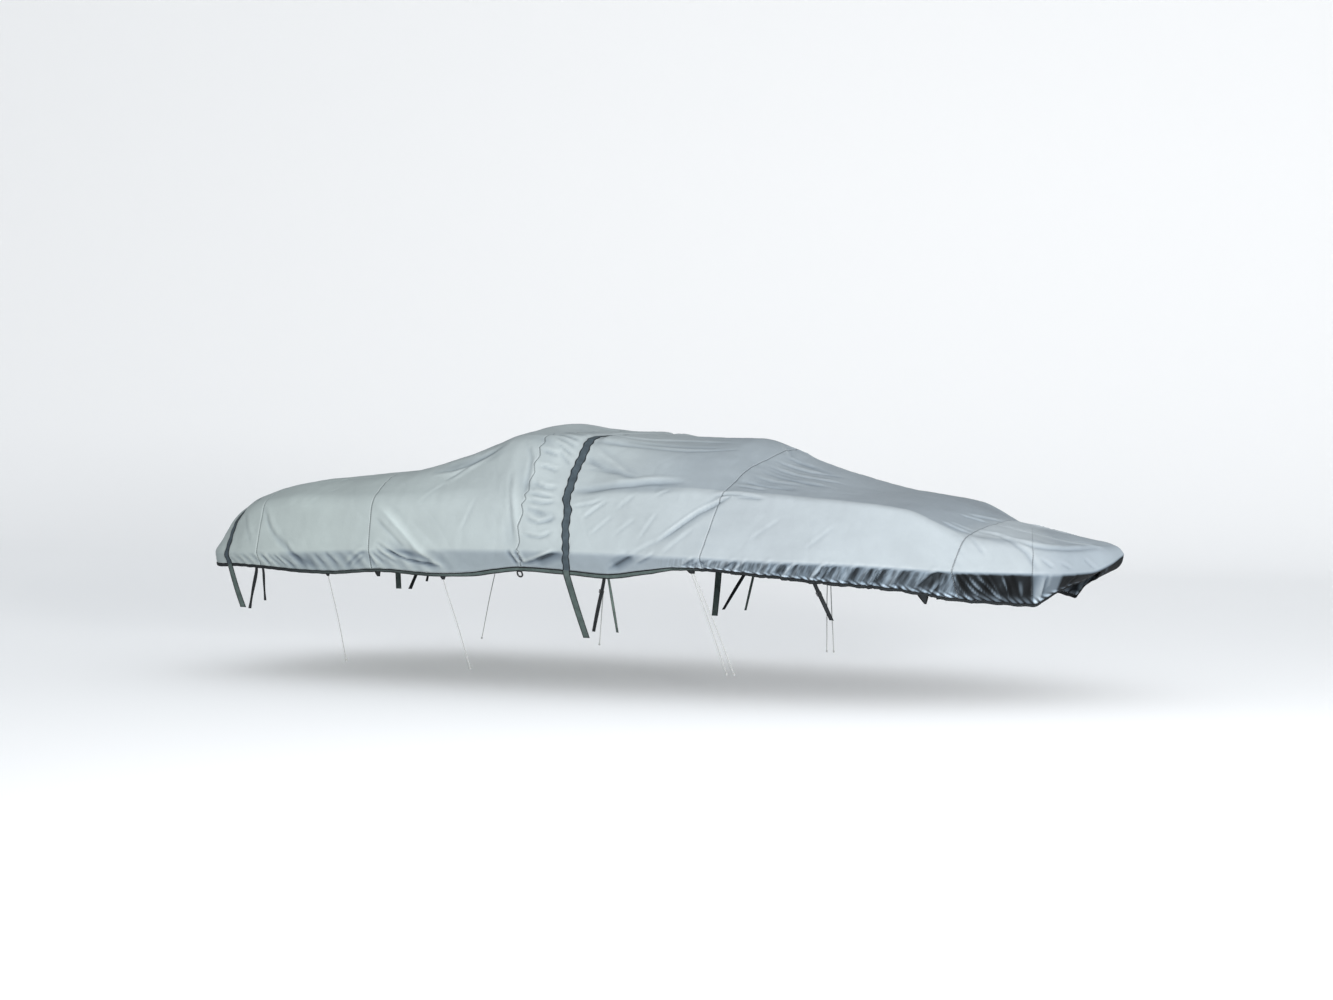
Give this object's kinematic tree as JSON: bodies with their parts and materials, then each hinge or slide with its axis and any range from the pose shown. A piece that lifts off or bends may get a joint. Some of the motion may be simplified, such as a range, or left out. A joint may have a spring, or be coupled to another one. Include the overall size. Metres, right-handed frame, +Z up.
{
  "type": "boat cover",
  "caption": "Fitted cloth cover draped over a runabout's deck, windshield and bow, with a bound and drawn hem, webbing over-straps and hanging tie-down ropes.",
  "frame": {"origin": "the support point under the cloth at the crest over the windshield, on the centre line", "axes": "+X to the bow, +Y to port, +Z up"},
  "size_m": [6.1804, 2.5162, 1.5945],
  "materials": {
    "cloth": "coated polyester, satin",
    "webbing": "woven webbing and binding, matt",
    "plastic": "moulded",
    "rope": "braided rope, matt"
  },
  "bodies": {
    "root": {"buckle_fore_port": "plastic", "buckle_fore_starboard": "plastic", "buckle_mid_port": "plastic", "buckle_mid_starboard": "plastic", "cord_aft_port": "rope", "cord_aft_starboard": "rope", "cord_cockpit_port": "rope", "cord_cockpit_starboard": "rope", "cord_fore_1_port": "rope", "cord_fore_1_starboard": "rope", "cord_fore_2_port": "rope", "cord_fore_2_starboard": "rope", "hem_binding": "webbing", "hem_loop_port": "webbing", "hem_loop_starboard": "webbing", "knot_aft_port": "rope", "knot_aft_starboard": "rope", "knot_cockpit_port": "rope", "knot_cockpit_starboard": "rope", "knot_fore_1_port": "rope", "knot_fore_1_starboard": "rope", "knot_fore_2_port": "rope", "knot_fore_2_starboard": "rope", "panel_aft": "cloth", "panel_bow": "cloth", "panel_bow_cap": "cloth", "panel_cockpit": "cloth", "panel_foredeck": "cloth", "panel_stern": "cloth", "panel_windshield": "cloth", "strap_stern": "webbing", "strap_windshield": "webbing", "tab_aft_port": "webbing", "tab_aft_starboard": "webbing", "tab_bow_port": "webbing", "tab_bow_starboard": "webbing", "tab_cockpit_port": "webbing", "tab_cockpit_starboard": "webbing", "tab_seam_port": "webbing", "tab_seam_starboard": "webbing", "tab_windshield_port": "webbing", "tab_windshield_starboard": "webbing", "tie_aft_long_port": "webbing", "tie_aft_long_starboard": "webbing", "tie_aft_short_port": "webbing", "tie_aft_short_starboard": "webbing", "tie_fore_port": "webbing", "tie_fore_starboard": "webbing", "tie_mid_aft_port": "webbing", "tie_mid_aft_starboard": "webbing", "tie_mid_fore_port": "webbing", "tie_mid_fore_starboard": "webbing"}
  },
  "joints": []
}
